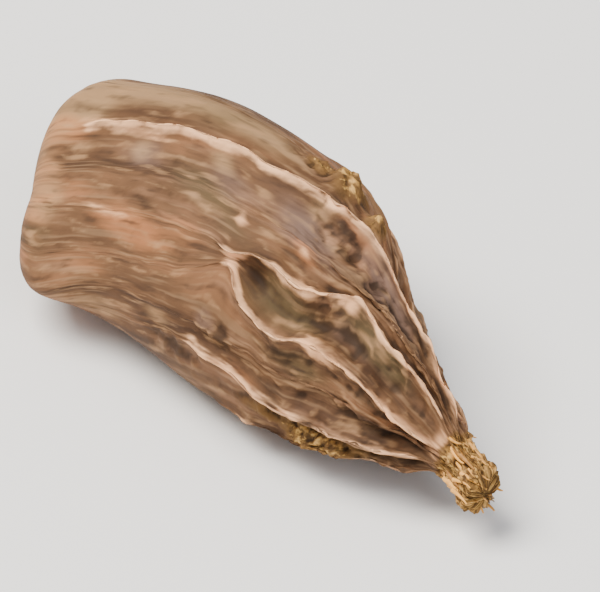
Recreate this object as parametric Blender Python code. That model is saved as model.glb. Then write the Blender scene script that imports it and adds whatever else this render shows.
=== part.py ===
"""A dried black cardamom pod, lying on one of its three faces.

The husk, the ridges along it and the stub of its stalk grew as one piece, so the pod is one solid. It lies
along X with the stalk at +X and +Z up. The origin is on the surface that it rests on, under the middle of
the pod's box. The side that a viewer at -Y sees is the front.

A place on the husk is a share of the length, 0 at the blunt end and 1 at the end of the stalk, and an angle
round the long axis: 0 degrees is the front, 90 the top, 180 the back and -90 underneath.
"""

import math

import bmesh
import bpy
from mathutils import Vector, noise

MM = 0.001

# Driving dimensions
POD_LENGTH = 33.2 * MM  # along the long axis, from the blunt end to the end of the stalk
POD_RADIUS = 7.3 * MM  # of the husk at its fattest place, without its ridges
RIDGE_HEIGHT = 0.78 * MM  # of the tallest ridges
VALLEY_DEPTH = 0.55 * MM  # how far the dried skin sinks between two ridges, near the stalk
FLAT_DEPTH = 0.45 * MM  # how much of the round underside the resting spot takes off
BOX_MIDDLE = Vector((-0.32 * MM, 1.81 * MM, 0.0))  # of the pod about its long axis, set over the origin

# The form of the husk, which its dimensions scale
ARCH = 0.41 * POD_RADIUS  # how far the long axis drops from its top to its ends
BOW = 0.28 * POD_RADIUS  # how far the long axis bends to the back
LOBES = 0.045  # how far the three edges stand out of a round section, as a share of the radius
TOP_EDGE = math.radians(92)  # where the topmost of the three edges runs
LEAN = 0.31  # how far the blunt end leans out to one side, as a share of the radius
LEAN_ANGLE = math.radians(136)  # the side that leans out furthest
BLUNT_CAP = 0.10  # the share of the length that rounds off the blunt end, where it is sharpest
ROUND_SIDE = math.radians(240)  # the side where the blunt end is roundest
ROUND_SIDE_CAP = 0.26  # the share of the length that rounds it off there
STALK_CAP = 0.012  # the share that rounds off the end of the stalk
SQUARENESS = 2.5  # of both roundings, where a circle has 2
STALK_BEGINS = 0.915  # where the husk has narrowed to the stub of the stalk
STALK_DROOP = 0.4 * MM  # how far the stub's end hangs down

# Share of the length, and share of the radius there
OUTLINE = [
    (0.00, 0.83),
    (0.15, 0.92),
    (0.30, 0.985),
    (0.42, 1.00),
    (0.54, 0.95),
    (0.65, 0.82),
    (0.75, 0.64),
    (0.82, 0.47),
    (0.87, 0.33),
    (0.905, 0.22),
    (0.93, 0.165),
    (0.955, 0.155),
    (0.98, 0.19),
    (1.00, 0.18),
]

# Two ridges that show from the front, one of which forks off the other halfway
FORKING_RIDGE = (
    (0.1, 6),
    (0.4, 25),
    (0.49, 40),
    (0.53, 35),
    (0.58, 28),
    (0.63, 26),
    (0.67, 34),
    (0.75, 37),
    (0.9, 28),
)
KINKED_RIDGE = (
    (0.1, 28),
    (0.4, 42),
    (0.49, 45),
    (0.53, 50),
    (0.6, 53),
    (0.66, 59),
    (0.72, 71),
    (0.79, 70),
    (0.9, 78),
)

# One ridge a row: its course as (share of the length, angle in degrees), its height as a share of the tallest
# one's, and the share of the length where it rises out of the smooth skin
RIDGES = [
    (((0.1, -150), (0.5, -140), (0.9, -132)), 0.80, 0.15),
    (((0.1, -124), (0.5, -114), (0.9, -106)), 0.40, 0.42),
    (((0.1, -100), (0.5, -88), (0.9, -80)), 0.35, 0.55),
    (((0.1, -74), (0.5, -60), (0.9, -50)), 0.35, 0.50),
    (((0.1, -50), (0.5, -34), (0.9, -26)), 0.60, 0.50),
    (((0.1, -26), (0.47, -2), (0.55, -3), (0.62, -8), (0.70, -9), (0.9, -5)), 0.80, 0.44),
    (((0.1, -12), (0.4, 6), (0.6, 8), (0.9, 14)), 0.25, 0.30),
    (FORKING_RIDGE, 0.95, 0.49),
    (KINKED_RIDGE, 1.00, 0.48),
    (((0.1, 48), (0.5, 67), (0.9, 90)), 0.40, 0.68),
    (((0.1, 67), (0.3, 76), (0.5, 87), (0.7, 109), (0.8, 116), (0.9, 114)), 0.95, 0.13),
    (((0.1, 100), (0.5, 114), (0.8, 132), (0.9, 134)), 0.30, 0.62),
    (((0.1, 130), (0.5, 137), (0.9, 150)), 0.40, 0.46),
    (((0.1, 158), (0.5, 168), (0.9, 176)), 0.65, 0.24),
    (((0.1, 184), (0.5, 194), (0.9, 202)), 0.70, 0.34),
]
RISE = 0.05  # how much of the length a ridge takes to rise, to each side of that share
EARLY_SWELL = 0.06  # how tall a ridge already is before it rises
WANDER = math.radians(2.5)  # how far a ridge strays to each side
TALL = 0.6  # a ridge this tall or taller keeps the skin from shrinking in
CREST_WIDTH = 0.13  # of a ridge, as a share of the way to the next one, where the skin is smooth
HANG = 1.3  # the power of the curve in which the shrunken skin hangs from ridge to ridge
RAGGEDNESS = 0.45  # how much a ridge's height changes along it

# Where the husk is dented or swollen: share of the length, angle in degrees, reach along as a share of the
# length, reach round in degrees, and height, which is below zero in a dent
DENTS_AND_SWELLINGS = [
    (0.75, 152, 0.13, 43, -3.1 * MM),  # the flat back face near the stalk
    (0.10, -55, 0.18, 42, -1.2 * MM),  # the underside of the blunt end
    (0.04, 112, 0.06, 35, 0.45 * MM),  # the upper corner of the blunt end
    (0.05, 76, 0.07, 18, 0.6 * MM),  # and its front face, which is hollow between two corners
    (0.05, 36, 0.07, 16, -0.6 * MM),
    (0.10, -8, 0.08, 16, 1.0 * MM),
    (0.82, -48, 0.08, 25, -0.4 * MM),
    (0.545, 117, 0.026, 11, 1.05 * MM),  # two crusty knobs at the top of the back face
    (0.615, 118, 0.016, 8, 1.00 * MM),
    (0.545, 43, 0.030, 6, -0.5 * MM),  # the hollow in the fork of two ridges
    (0.86, 6, 0.030, 12, -0.5 * MM),
    (0.28, 34, 0.090, 12, 0.3 * MM),  # the root of the ridge that forks
]

# Short folds that cross the valleys near the stalk, placed by a rule from the valley's number
FOLDS_PER_VALLEY = 4
FOLD_HEIGHT = 0.25 * MM
FOLD_WIDTH = 0.016  # as a share of the length
FOLDS_FROM = 0.60
FOLDS_TO = 0.90
FOLD_STRAY = 0.09  # how far a fold may lie from its even place

# Unevenness of the skin: the hard seeds inside press it out, and it puckers where it has shrunk most
SEED_SWELL = 0.32 * MM
PUCKER = 0.34 * MM

# The scar of the flower at the middle of the blunt end, a dimple with folds drawn into it
SCAR_DEPTH = 0.7 * MM
SCAR_FOLD_DEPTH = 0.22 * MM
SCAR_FOLDS = 8

# The mesh: columns of faces from one ridge to the next, and rings from the blunt end to the stalk
COLUMNS_PER_VALLEY = 7
RINGS = 56
BLUNT_RINGS = 11  # of the rings, over the blunt end
STALK_RINGS = 3  # of the rings, over the end of the stalk
CREST_CROWDING = 0.55  # how much the columns crowd against the ridges
STALK_CROWDING = 0.25  # how much the rings crowd towards the stalk

HUSK_COLOUR = (0.235, 0.150, 0.098, 1.0)
HUSK_ROUGHNESS = 0.78


def smooth_step(low, high, value):
    """0 below low, 1 above high, and an even curve between them."""
    t = min(1.0, max(0.0, (value - low) / (high - low)))
    return t * t * (3 - 2 * t)


def read_curve(points, x):
    """The height at x of a smooth curve through the points, level before the first and after the last."""
    x = min(max(x, points[0][0]), points[-1][0])
    last = len(points) - 2
    i = next((k for k in range(last) if x < points[k + 1][0]), last)
    (x0, y0), (x1, y1) = points[i], points[i + 1]
    before, after = points[max(0, i - 1)], points[min(last + 1, i + 2)]
    step = x1 - x0
    rise0 = step * (y1 - before[1]) / (x1 - before[0])
    rise1 = step * (after[1] - y0) / (after[0] - x0)
    t = (x - x0) / step
    start = (2 * t**3 - 3 * t**2 + 1) * y0 + (t**3 - 2 * t**2 + t) * rise0
    return start + (3 * t**2 - 2 * t**3) * y1 + (t**3 - t**2) * rise1


def round_off(share, cap):
    """The rounding of an end: 0 at its tip, and 1 once share is past cap."""
    t = 1 - min(1.0, share / cap)
    return max(0.0, 1 - t**SQUARENESS) ** (1 / SQUARENESS)


def husk_only(share, fade):
    """1 along the husk, fading to 0 over the last stretch before the stalk."""
    return 1 - smooth_step(STALK_BEGINS - fade, STALK_BEGINS, share)


def blunt_cap(angle):
    """The share of the length that rounds off the blunt end on this side."""
    t = 0.5 + 0.5 * math.cos(angle - ROUND_SIDE)
    return BLUNT_CAP + (ROUND_SIDE_CAP - BLUNT_CAP) * t * t


def skin_radius(share, angle):
    """Radius of the bare skin: the outline, with three soft edges round it."""
    ends = round_off(share, blunt_cap(angle)) * round_off(1 - share, STALK_CAP)
    lobes = 1 + LOBES * math.cos(3 * (angle - TOP_EDGE))
    return POD_RADIUS * read_curve(OUTLINE, share) * lobes * ends


def axis_point(share):
    """The long axis, which arches up, bows to the back and droops at the stalk."""
    bend = math.sin(math.pi * share**0.75)
    height = POD_RADIUS * (1 - LOBES) - FLAT_DEPTH - ARCH * (1 - bend)
    height -= STALK_DROOP * smooth_step(STALK_BEGINS - 0.03, 1.0, share)
    return Vector(((share - 0.5) * POD_LENGTH, BOW * bend, height)) - BOX_MIDDLE


def ridge_angle(ridge, share):
    """Where a ridge runs: its row's course, with a slight wander."""
    turns, row = divmod(ridge, len(RIDGES))
    angle = read_curve(RIDGES[row][0], share)
    stray = noise.noise(Vector((share * 11, row * 5.3, 0.7)))
    stray *= WANDER * smooth_step(0.1, 0.5, share)
    return math.radians(angle + 360 * turns) + stray


def ridge_height(ridge, share):
    """How tall a ridge stands: it rises from the skin, swells and dips on its way, and ends at the stalk."""
    row = ridge % len(RIDGES)
    height, start = RIDGES[row][1:]
    rise = smooth_step(start - RISE, start + RISE, share)
    early = EARLY_SWELL * smooth_step(0.04, 0.2, share)
    ragged = 1 + RAGGEDNESS * noise.noise(Vector((share * 19, row * 3.1, 4.2)))
    return RIDGE_HEIGHT * height * max(rise, early) * ragged * husk_only(share, 0.05)


def prominence(ridge):
    """How far a ridge holds the shrinking skin up: 1 for a tall ridge, less for a low one."""
    return min(1.0, RIDGES[ridge % len(RIDGES)][1] / TALL)


def crest(across, share):
    """A ridge's section: 1 on its crest, and 0 down in the valley. Shrunken skin hangs from ridge to ridge."""
    narrow = math.exp(-((across / CREST_WIDTH) ** 1.4))
    hanging = max(0.0, 1 - 2 * across) ** HANG
    return narrow + (hanging - narrow) * smooth_step(0.42, 0.72, share)


def folds(valley, across, share):
    """The height of the short folds that cross a valley, as a share of a fold's."""
    row = valley % len(RIDGES)
    height = 0.0
    for k in range(FOLDS_PER_VALLEY):
        key = Vector((row * 2.7 + 0.3, k * 3.9 + 0.6, 1.1))
        place = FOLDS_FROM + (FOLDS_TO - FOLDS_FROM) * (k + 0.5) / FOLDS_PER_VALLEY
        place += FOLD_STRAY * noise.noise(key)
        slant = 0.10 * noise.noise(key + Vector((7.7, 0, 0)))
        size = 0.6 + 0.9 * noise.noise(key + Vector((0, 9.1, 0)))
        off = (share - place - slant * (across - 0.5)) / FOLD_WIDTH
        height += max(0.0, size) * math.exp(-off * off)
    return height * 4 * across * (1 - across)


def relief(ridge, across, share):
    """How far the skin stands out at a place between a ridge and the next one."""
    near_one, near_next = crest(across, share), crest(1 - across, share)
    ridges = ridge_height(ridge, share) * near_one + ridge_height(ridge + 1, share) * near_next
    sunk = 1 - prominence(ridge) * near_one - prominence(ridge + 1) * near_next
    shrunk = smooth_step(0.42, 0.78, share) * husk_only(share, 0.05)
    return ridges + shrunk * (FOLD_HEIGHT * folds(ridge, across, share) - VALLEY_DEPTH * sunk)


def unevenness(share, angle):
    """Soft swellings over the seeds, and puckers that grow towards the stalk."""
    wide = Vector((share * 4.2, 1.5 * math.cos(angle), 1.5 * math.sin(angle)))
    close = Vector((share * 13, 4.5 * math.cos(angle), 4.5 * math.sin(angle)))
    puckers = PUCKER * noise.noise(close) * smooth_step(0.35, 0.8, share)
    return (SEED_SWELL * noise.noise(wide) + puckers) * husk_only(share, 0.06)


def dents_and_swellings(share, angle):
    """The places where the husk is dented or swollen."""
    height = 0.0
    for place, middle, along, round_it, most in DENTS_AND_SWELLINGS:
        turn = (math.degrees(angle) - middle + 180) % 360 - 180
        height += most * math.exp(-(((share - place) / along) ** 2) - (turn / round_it) ** 2)
    return height * husk_only(share, 0.05)


def stalk_fibres(share, angle):
    """Coarse fibres down the stub of the stalk."""
    strands = 0.10 * MM * math.cos(7 * angle + 9 * share) + 0.06 * MM * math.cos(11 * angle)
    return strands * (1 - husk_only(share, 0.03)) * round_off(1 - share, 3 * STALK_CAP)


def scar(share, angle):
    """How far the blunt end is drawn in about the scar of the flower."""
    off = round_off(share, BLUNT_CAP)
    fold = 0.5 + 0.5 * math.cos(SCAR_FOLDS * angle + 2 * math.sin(angle))
    dimple = SCAR_DEPTH * math.exp(-((off / 0.24) ** 2))
    return dimple + SCAR_FOLD_DEPTH * fold * math.exp(-(((off - 0.4) / 0.22) ** 2))


def husk_point(share, valleys_round):
    """The skin's place at a share of the length, and so many valleys round from the first ridge."""
    ridge = math.floor(valleys_round)
    across = valleys_round - ridge
    across -= CREST_CROWDING * math.sin(2 * math.pi * across) / (2 * math.pi)
    first, second = ridge_angle(ridge, share), ridge_angle(ridge + 1, share)
    angle = first + (second - first) * across
    out = relief(ridge, across, share) + unevenness(share, angle) + dents_and_swellings(share, angle)
    out = (out + stalk_fibres(share, angle)) * round_off(share, BLUNT_CAP)
    radius = skin_radius(share, angle) + out
    point = axis_point(share)
    point.x -= LEAN * (1 - share) ** 1.5 * radius * math.cos(angle - LEAN_ANGLE)
    point.x += scar(share, angle)
    point.y -= radius * math.cos(angle)
    point.z = max(0.0, point.z + radius * math.sin(angle))
    return point


def ring_share(ring):
    """The share of the length where a ring lies: rings follow both roundings and crowd towards the stalk."""
    if ring <= BLUNT_RINGS:
        return BLUNT_CAP * (1 - math.cos(math.pi / 2 * ring / BLUNT_RINGS))
    if ring >= RINGS - STALK_RINGS:
        return 1 - STALK_CAP * (1 - math.cos(math.pi / 2 * (RINGS - ring) / STALK_RINGS))
    t = (ring - BLUNT_RINGS) / (RINGS - STALK_RINGS - BLUNT_RINGS)
    t += STALK_CROWDING * t * (1 - t)
    return BLUNT_CAP + (1 - STALK_CAP - BLUNT_CAP) * t


def husk_material():
    material = bpy.data.materials.new("dried_husk")
    material.use_nodes = True
    shader = material.node_tree.nodes["Principled BSDF"]
    shader.inputs["Base Color"].default_value = HUSK_COLOUR
    shader.inputs["Roughness"].default_value = HUSK_ROUGHNESS
    shader.inputs["Metallic"].default_value = 0.0
    return material


def make_pod(collection):
    """A ball of rings and columns, whose points are then moved onto the husk."""
    columns = COLUMNS_PER_VALLEY * len(RIDGES)
    shape = bmesh.new()
    bmesh.ops.create_uvsphere(shape, u_segments=columns, v_segments=RINGS, radius=1.0)
    for vertex in shape.verts:
        down = math.acos(max(-1.0, min(1.0, vertex.co.z))) / math.pi
        turn = math.atan2(vertex.co.y, vertex.co.x) / (2 * math.pi)
        ring, column = round(down * RINGS), round(turn * columns) % columns
        vertex.co = husk_point(ring_share(ring), column / COLUMNS_PER_VALLEY)
    bmesh.ops.recalc_face_normals(shape, faces=shape.faces)
    mesh = bpy.data.meshes.new("pod")
    shape.to_mesh(mesh)
    shape.free()
    mesh.shade_smooth()
    mesh.materials.append(husk_material())
    pod = bpy.data.objects.new("pod", mesh)
    collection.objects.link(pod)
    return pod


def main():
    for old in list(bpy.data.objects):
        bpy.data.objects.remove(old)
    collection = bpy.data.collections.new("black_cardamom_pod")
    bpy.context.scene.collection.children.link(collection)
    pod = make_pod(collection)
    box = [[f(v.co[k] for v in pod.data.vertices) / MM for k in range(3)] for f in (min, max)]
    print("box in mm:", *(f"{low:.2f} to {high:.2f}" for low, high in zip(*box)))


main()
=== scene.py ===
# %% [markdown]
# # A dried black cardamom pod
#
# The pod is a dried fruit as long as a finger joint. Its husk has shrunk onto the seeds, so it is fat where
# they press it out, ridged where its fibres run, and puckered where it narrows to a stub of stalk. This
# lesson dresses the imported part: a finer husk, the torn fibres at the stalk, their finishes, and a plain
# stage to look at them on. All lengths are in metres and all places are in the part's own frame.

import functools
import math

import bpy
import numpy as np
from mathutils import Matrix, Vector, noise


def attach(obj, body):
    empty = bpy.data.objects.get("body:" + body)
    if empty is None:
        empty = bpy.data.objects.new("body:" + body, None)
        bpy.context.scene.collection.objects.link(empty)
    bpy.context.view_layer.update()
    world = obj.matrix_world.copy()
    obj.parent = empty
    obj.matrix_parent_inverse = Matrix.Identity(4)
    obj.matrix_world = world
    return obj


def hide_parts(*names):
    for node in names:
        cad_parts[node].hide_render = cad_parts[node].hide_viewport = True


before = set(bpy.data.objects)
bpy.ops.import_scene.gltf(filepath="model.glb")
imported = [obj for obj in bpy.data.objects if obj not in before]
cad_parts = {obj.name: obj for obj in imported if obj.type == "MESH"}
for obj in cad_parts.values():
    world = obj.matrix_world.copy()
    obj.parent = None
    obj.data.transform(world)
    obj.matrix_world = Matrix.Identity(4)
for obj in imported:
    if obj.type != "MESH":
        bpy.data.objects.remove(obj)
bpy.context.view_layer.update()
MM = 0.001

# %% [markdown]
# ## The form of the husk
#
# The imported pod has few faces, because it has to be light. Its mesh could be subdivided, but that rounds
# the ridges off, and it doesn't say where a ridge runs, which the finish needs to know. So the rule that
# shapes the part is repeated here with its own sizes, and read at many more places. A place on the husk is
# a share of the length, 0 at the blunt end and 1 at the stalk, and an angle round the long axis, 0 at the
# front, 90 on top.

# %% The sizes of the husk
POD_LENGTH = 33.2 * MM
POD_RADIUS = 7.3 * MM
RIDGE_HEIGHT = 0.78 * MM
VALLEY_DEPTH = 0.55 * MM
FLAT_DEPTH = 0.45 * MM
BOX_MIDDLE = Vector((-0.32 * MM, 1.81 * MM, 0.0))
ARCH = 0.41 * POD_RADIUS
BOW = 0.28 * POD_RADIUS
LOBES = 0.045
TOP_EDGE = math.radians(92)
LEAN = 0.31
LEAN_ANGLE = math.radians(136)
BLUNT_CAP = 0.10
ROUND_SIDE = math.radians(240)
ROUND_SIDE_CAP = 0.26
STALK_CAP = 0.012
SQUARENESS = 2.5
STALK_BEGINS = 0.915
STALK_DROOP = 0.4 * MM

# Share of the length, and share of the radius there
OUTLINE = [
    (0.00, 0.83),
    (0.15, 0.92),
    (0.30, 0.985),
    (0.42, 1.00),
    (0.54, 0.95),
    (0.65, 0.82),
    (0.75, 0.64),
    (0.82, 0.47),
    (0.87, 0.33),
    (0.905, 0.22),
    (0.93, 0.165),
    (0.955, 0.155),
    (0.98, 0.19),
    (1.00, 0.18),
]

# %% [markdown]
# A fibre that runs from end to end dries to a ridge. Each has its own course, so they are listed one a row:
# the course as shares and angles, the height as a share of the tallest one's, the share of the length where
# the ridge rises out of the skin, and how much its crest is rubbed pale.

# %% The courses of the ridges
FORKING_RIDGE = (
    (0.1, 6),
    (0.4, 25),
    (0.49, 40),
    (0.53, 35),
    (0.58, 28),
    (0.63, 26),
    (0.67, 34),
    (0.75, 37),
    (0.9, 28),
)
KINKED_RIDGE = (
    (0.1, 28),
    (0.4, 42),
    (0.49, 45),
    (0.53, 50),
    (0.6, 53),
    (0.66, 59),
    (0.72, 71),
    (0.79, 70),
    (0.9, 78),
)
RIDGES = [
    (((0.1, -150), (0.5, -140), (0.9, -132)), 0.80, 0.15, 0.6),
    (((0.1, -124), (0.5, -114), (0.9, -106)), 0.40, 0.42, 0.4),
    (((0.1, -100), (0.5, -88), (0.9, -80)), 0.35, 0.55, 0.4),
    (((0.1, -74), (0.5, -60), (0.9, -50)), 0.35, 0.50, 0.3),
    (((0.1, -50), (0.5, -34), (0.9, -26)), 0.60, 0.50, 0.4),
    (((0.1, -26), (0.47, -2), (0.55, -3), (0.62, -8), (0.70, -9), (0.9, -5)), 0.80, 0.44, 0.6),
    (((0.1, -12), (0.4, 6), (0.6, 8), (0.9, 14)), 0.25, 0.30, 0.2),
    (FORKING_RIDGE, 0.95, 0.49, 1.0),
    (KINKED_RIDGE, 1.00, 0.48, 1.0),
    (((0.1, 48), (0.5, 67), (0.9, 90)), 0.40, 0.68, 0.15),
    (((0.1, 67), (0.3, 76), (0.5, 87), (0.7, 109), (0.8, 116), (0.9, 114)), 0.95, 0.13, 1.0),
    (((0.1, 100), (0.5, 114), (0.8, 132), (0.9, 134)), 0.30, 0.62, 0.3),
    (((0.1, 130), (0.5, 137), (0.9, 150)), 0.40, 0.46, 0.5),
    (((0.1, 158), (0.5, 168), (0.9, 176)), 0.65, 0.24, 0.7),
    (((0.1, 184), (0.5, 194), (0.9, 202)), 0.70, 0.34, 0.6),
]
TALL = 0.6  # a ridge this tall or taller keeps the skin from shrinking in
RISE = 0.05
EARLY_SWELL = 0.06
WANDER = math.radians(2.5)
JAG = math.radians(1.6)
CREST_WIDTH = 0.13
EDGE_WIDTH = 0.045
HANG = 1.3
RAGGEDNESS = 0.45
print("ridges:", len(RIDGES))

# %% [markdown]
# Where a seed sits high, or where the pod dried against its neighbour, the husk is swollen or dented. The
# last rows are small warts that only the finer husk has.

# %% Dents and swellings
DENTS_AND_SWELLINGS = [
    (0.75, 152, 0.13, 43, -3.1 * MM),
    (0.10, -55, 0.18, 42, -1.2 * MM),
    (0.04, 112, 0.06, 35, 0.45 * MM),
    (0.05, 76, 0.07, 18, 0.6 * MM),
    (0.05, 36, 0.07, 16, -0.6 * MM),
    (0.10, -8, 0.08, 16, 1.0 * MM),
    (0.82, -48, 0.08, 25, -0.4 * MM),
    (0.545, 117, 0.026, 11, 1.05 * MM),
    (0.615, 118, 0.016, 8, 1.00 * MM),
    (0.545, 43, 0.030, 6, -0.5 * MM),
    (0.86, 6, 0.030, 12, -0.5 * MM),
    (0.28, 34, 0.090, 12, 0.3 * MM),
    (0.475, 60, 0.014, 4.5, 0.16 * MM),
    (0.48, 12, 0.014, 3.5, 0.16 * MM),
    (0.594, 68, 0.020, 3.5, 0.20 * MM),
    (0.64, 75, 0.016, 3.0, 0.20 * MM),
    (0.695, 36, 0.016, 4.0, 0.25 * MM),
]
FOLDS_PER_VALLEY = 4
FOLD_HEIGHT = 0.25 * MM
FOLD_WIDTH = 0.016
FOLDS_FROM = 0.60
FOLDS_TO = 0.90
FOLD_STRAY = 0.09
SEED_SWELL = 0.32 * MM
PUCKER = 0.34 * MM
SCAR_DEPTH = 0.7 * MM
SCAR_FOLD_DEPTH = 0.22 * MM
SCAR_FOLDS = 8
SLOT_DEPTH = 0.55 * MM

# %% [markdown]
# First come the curves that the rule is made of: an even step, a smooth curve through a list of points, and
# the rounding of the two ends.

# %% Curves and ends


def smooth_step(low, high, value):
    """0 below low, 1 above high, and an even curve between them."""
    t = min(1.0, max(0.0, (value - low) / (high - low)))
    return t * t * (3 - 2 * t)


def read_curve(points, x):
    """The height at x of a smooth curve through the points, level before the first and after the last."""
    x = min(max(x, points[0][0]), points[-1][0])
    last = len(points) - 2
    i = next((k for k in range(last) if x < points[k + 1][0]), last)
    (x0, y0), (x1, y1) = points[i], points[i + 1]
    before, after = points[max(0, i - 1)], points[min(last + 1, i + 2)]
    step = x1 - x0
    rise0 = step * (y1 - before[1]) / (x1 - before[0])
    rise1 = step * (after[1] - y0) / (after[0] - x0)
    t = (x - x0) / step
    start = (2 * t**3 - 3 * t**2 + 1) * y0 + (t**3 - 2 * t**2 + t) * rise0
    return start + (3 * t**2 - 2 * t**3) * y1 + (t**3 - t**2) * rise1


def round_off(share, cap):
    """The rounding of an end: 0 at its tip, and 1 once share is past cap."""
    t = 1 - min(1.0, share / cap)
    return max(0.0, 1 - t**SQUARENESS) ** (1 / SQUARENESS)


def husk_only(share, fade):
    """1 along the husk, fading to 0 over the last stretch before the stalk."""
    return 1 - smooth_step(STALK_BEGINS - fade, STALK_BEGINS, share)


@functools.cache
def outline_radius(share):
    """Radius of the bare skin at a share of the length, before its edges and ends."""
    return POD_RADIUS * read_curve(OUTLINE, share) * round_off(1 - share, STALK_CAP)


def skin_radius(share, angle):
    """Radius of the bare skin: the outline, with three soft edges round it."""
    t = 0.5 + 0.5 * math.cos(angle - ROUND_SIDE)
    cap = BLUNT_CAP + (ROUND_SIDE_CAP - BLUNT_CAP) * t * t
    lobes = 1 + LOBES * math.cos(3 * (angle - TOP_EDGE))
    return outline_radius(share) * lobes * round_off(share, cap)


@functools.cache
def axis_point(share):
    """The long axis, which arches up, bows to the back and droops at the stalk."""
    bend = math.sin(math.pi * share**0.75)
    height = POD_RADIUS * (1 - LOBES) - FLAT_DEPTH - ARCH * (1 - bend)
    height -= STALK_DROOP * smooth_step(STALK_BEGINS - 0.03, 1.0, share)
    return Vector(((share - 0.5) * POD_LENGTH, BOW * bend, height)) - BOX_MIDDLE


# %% [markdown]
# Then come the ridges. A ridge wanders a little, swells and dips on its way, and has a narrow crest. Its
# course and height are the same for a whole ring of places, so they are worked out once and remembered.

# %% Ridges


@functools.cache
def ridge_angle(ridge, share):
    """Where a ridge runs: its row's course, with a slight wander."""
    turns, row = divmod(ridge, len(RIDGES))
    angle = read_curve(RIDGES[row][0], share)
    stray = WANDER * noise.noise(Vector((share * 11, row * 5.3, 0.7)))
    stray += JAG * noise.noise(Vector((share * 32, row * 5.3, 3.3)))
    return math.radians(angle + 360 * turns) + stray * smooth_step(0.1, 0.5, share)


@functools.cache
def ridge_height(row, share):
    """How tall a ridge stands: it rises from the skin, swells and dips on its way, and ends at the stalk."""
    _, height, start, _ = RIDGES[row]
    rise = smooth_step(start - RISE, start + RISE, share)
    early = EARLY_SWELL * smooth_step(0.04, 0.2, share)
    ragged = 1 + RAGGEDNESS * noise.noise(Vector((share * 19, row * 3.1, 4.2)))
    return RIDGE_HEIGHT * height * max(rise, early) * ragged * husk_only(share, 0.05)


@functools.cache
def ridge_width(row, share):
    """How wide a ridge is here, as a share of its usual width: it is pinched and spread along its course."""
    return 1 + 0.6 * noise.noise(Vector((share * 20, row * 4.1, 8.8)))


def prominence(row):
    """How far a ridge holds the shrinking skin up: 1 for a tall ridge, less for a low one."""
    return min(1.0, RIDGES[row][1] / TALL)


def crest(across, share, width):
    """A ridge's section: 1 on its crest and 0 in the valley. Shrunken skin hangs from ridge to ridge."""
    foot = math.exp(-((across / (width * CREST_WIDTH)) ** 1.6))
    narrow = 0.62 * foot + 0.38 * math.exp(-((across / (width * EDGE_WIDTH)) ** 1.3))
    hanging = max(0.0, 1 - 2 * across) ** HANG
    return narrow + (hanging - narrow) * smooth_step(0.42, 0.72, share)


@functools.cache
def fold_shape(row, k):
    """The place, slant and size of one of the short folds that cross a valley near the stalk."""
    key = Vector((row * 2.7 + 0.3, k * 3.9 + 0.6, 1.1))
    place = FOLDS_FROM + (FOLDS_TO - FOLDS_FROM) * (k + 0.5) / FOLDS_PER_VALLEY
    place += FOLD_STRAY * noise.noise(key)
    slant = 0.10 * noise.noise(key + Vector((7.7, 0, 0)))
    return place, slant, max(0.0, 0.6 + 0.9 * noise.noise(key + Vector((0, 9.1, 0))))


def folds(row, across, share):
    """The height of the short folds that cross a valley, as a share of a fold's."""
    height = 0.0
    for k in range(FOLDS_PER_VALLEY):
        place, slant, size = fold_shape(row, k)
        off = (share - place - slant * (across - 0.5)) / FOLD_WIDTH
        height += size * math.exp(-off * off)
    return height * 4 * across * (1 - across)


def shrunk(share):
    """How far the skin has shrunk between its ridges: most of all just before the stalk."""
    return smooth_step(0.42, 0.78, share) * husk_only(share, 0.05)


# %% [markdown]
# Last come the soft swellings over the seeds, the dents, the coarse fibres of the stub and the scar that the
# flower left at the blunt end. Together they put one place of the skin where it belongs.

# %% One place of the skin


def unevenness(share, angle):
    """Soft swellings over the seeds, and puckers that grow towards the stalk."""
    wide = Vector((share * 4.2, 1.5 * math.cos(angle), 1.5 * math.sin(angle)))
    close = Vector((share * 13, 4.5 * math.cos(angle), 4.5 * math.sin(angle)))
    puckers = PUCKER * noise.noise(close) * smooth_step(0.35, 0.8, share)
    return (SEED_SWELL * noise.noise(wide) + puckers) * husk_only(share, 0.06)


def near(share, angle, place, middle, along, round_it):
    """1 at a named place, falling smoothly to 0 beyond its reach along and round the pod."""
    turn = (math.degrees(angle) - middle + 180) % 360 - 180
    return math.exp(-(((share - place) / along) ** 2) - (turn / round_it) ** 2)


def stalk_fibres(share, angle):
    """Coarse fibres down the stub of the stalk, and the slot that splits its torn end in two."""
    strands = 0.10 * MM * math.cos(7 * angle + 9 * share) + 0.06 * MM * math.cos(11 * angle)
    strands -= SLOT_DEPTH * near(share, angle, 0.985, 44, 0.035, 20)
    return strands * (1 - husk_only(share, 0.03)) * round_off(1 - share, 3 * STALK_CAP)


def scar(share, angle):
    """How far the blunt end is drawn in about the scar of the flower."""
    off = round_off(share, BLUNT_CAP)
    fold = 0.5 + 0.5 * math.cos(SCAR_FOLDS * angle + 2 * math.sin(angle))
    dimple = SCAR_DEPTH * math.exp(-((off / 0.24) ** 2))
    return dimple + SCAR_FOLD_DEPTH * fold * math.exp(-(((off - 0.4) / 0.22) ** 2))


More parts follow.
